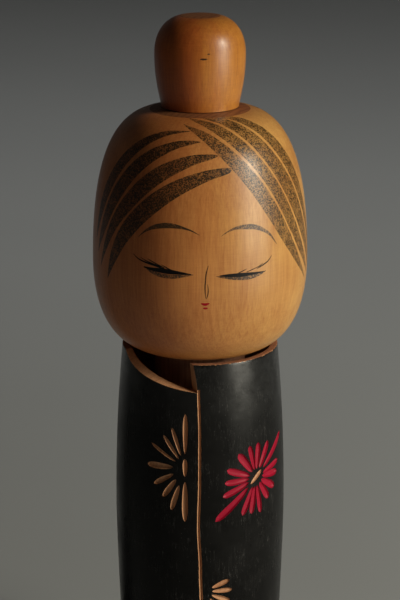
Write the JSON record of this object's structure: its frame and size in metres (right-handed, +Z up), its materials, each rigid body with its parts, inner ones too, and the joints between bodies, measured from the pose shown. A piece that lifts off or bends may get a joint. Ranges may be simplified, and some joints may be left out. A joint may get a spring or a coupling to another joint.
{
  "type": "kokeshi doll",
  "caption": "Turned wooden doll with a round-shouldered head, tall topknot and black kimono trunk; the head turns on a dowel and lifts off.",
  "frame": {"origin": "centre of the trunk's flat foot, on the surface that the doll stands on", "axes": "+Z up along the turned axis from foot to topknot, the face looks along -Y, +X to the viewer's right"},
  "size_m": [0.08, 0.08, 0.2733],
  "materials": {
    "black_kimono": "satin black paint and wax over turned wood, with bare carved lines",
    "dowel_wood": "raw, unwaxed",
    "head_wood": "satin, waxed, aged honey colour",
    "topknot_wood": "satin, waxed, redder than the head"
  },
  "bodies": {
    "trunk": {"trunk": "black_kimono"},
    "peg": {"neck_peg": "dowel_wood"},
    "head": {"head": "head_wood", "topknot": "topknot_wood"}
  },
  "joints": [
    {"name": "head_lift", "type": "slide", "parent": "trunk", "child": "peg", "axis": [0, 0, 1], "range_m": [0, 0.03]},
    {"name": "head_turn", "type": "hinge", "parent": "peg", "child": "head", "pos_m": [0, 0, 0.1489], "axis": [0, 0, 1], "continuous": true}
  ]
}
